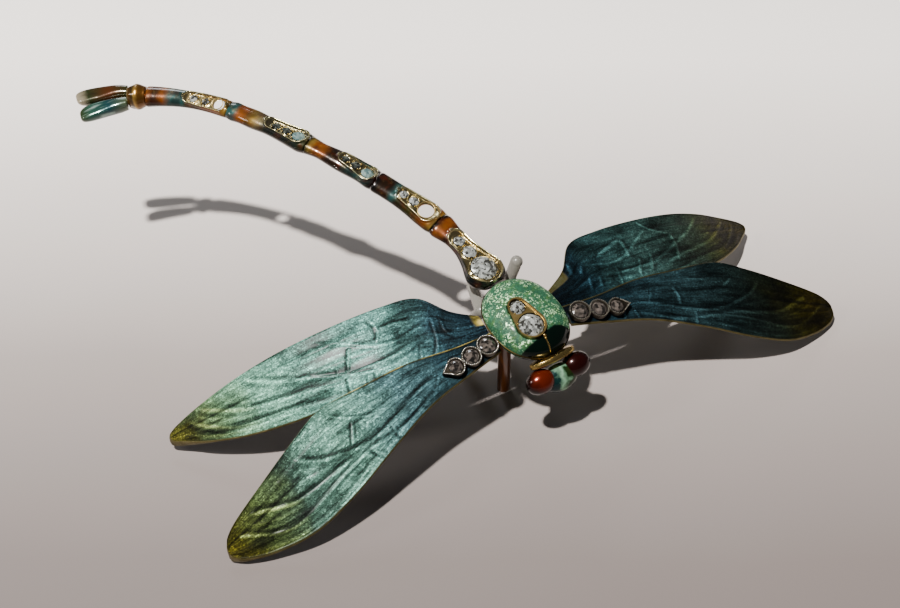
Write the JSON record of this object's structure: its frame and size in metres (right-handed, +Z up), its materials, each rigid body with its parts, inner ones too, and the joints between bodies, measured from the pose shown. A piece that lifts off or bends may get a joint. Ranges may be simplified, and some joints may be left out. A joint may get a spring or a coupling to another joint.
{
  "type": "insect brooch on display pins",
  "caption": "Enamelled dragonfly brooch with spread wings, set stones and a curved raised abdomen, standing on a plain post and clear pins.",
  "frame": {"origin": "centre of the bounding box's base, on the surface that the brooch and its pins stand on", "axes": "+Z up from that surface, X along the wing span, the head points to -Y and the abdomen to +Y"},
  "size_m": [0.0788, 0.0612, 0.0231],
  "materials": {
    "stones": "polished old-cut stones",
    "jade_enamel": "glossy translucent enamel over foil flecks",
    "red_enamel": "glossy translucent enamel",
    "wing_enamel": "satin translucent enamel over engraved metal",
    "abdomen_enamel": "glossy enamel on gold, with gold wire",
    "bezel_metal": "worn silvery gold with a beaded edge",
    "gold": "polished gold",
    "post_lacquer": "brown lacquer",
    "clear_sleeve": "clear plastic sleeve on a thin rod"
  },
  "bodies": {
    "root": {"thorax": "jade_enamel", "thorax_cartouche": "gold", "thorax_stone_small": "stones", "thorax_stone_large": "stones", "head_collar": "gold", "eye_left": "red_enamel", "eye_right": "red_enamel", "face": "jade_enamel", "fore_wing_left": "wing_enamel", "fore_wing_right": "wing_enamel", "hind_wing_left": "wing_enamel", "hind_wing_right": "wing_enamel", "bezel_row_left": "bezel_metal", "bezel_row_right": "bezel_metal", "wing_stone_left_1": "stones", "wing_stone_left_2": "stones", "wing_stone_left_3": "stones", "wing_stone_right_1": "stones", "wing_stone_right_2": "stones", "wing_stone_right_3": "stones", "abdomen_1": "abdomen_enamel", "abdomen_2": "abdomen_enamel", "abdomen_3": "abdomen_enamel", "abdomen_4": "abdomen_enamel", "abdomen_5": "abdomen_enamel", "stone_1_large": "stones", "stone_1_middle": "stones", "stone_1_small": "stones", "stone_2_middle": "stones", "stone_2_small": "stones", "stone_3_large": "stones", "stone_3_middle": "stones", "stone_3_small": "stones", "stone_4_large": "stones", "stone_4_middle": "stones", "stone_4_small": "stones", "stone_5_middle": "stones", "stone_5_small": "stones", "tail_ring": "gold", "clasper_outer": "abdomen_enamel", "clasper_inner": "abdomen_enamel", "brooch_pin": "gold", "display_post": "post_lacquer", "display_pin_left": "clear_sleeve", "display_pin_right": "clear_sleeve"}
  },
  "joints": []
}
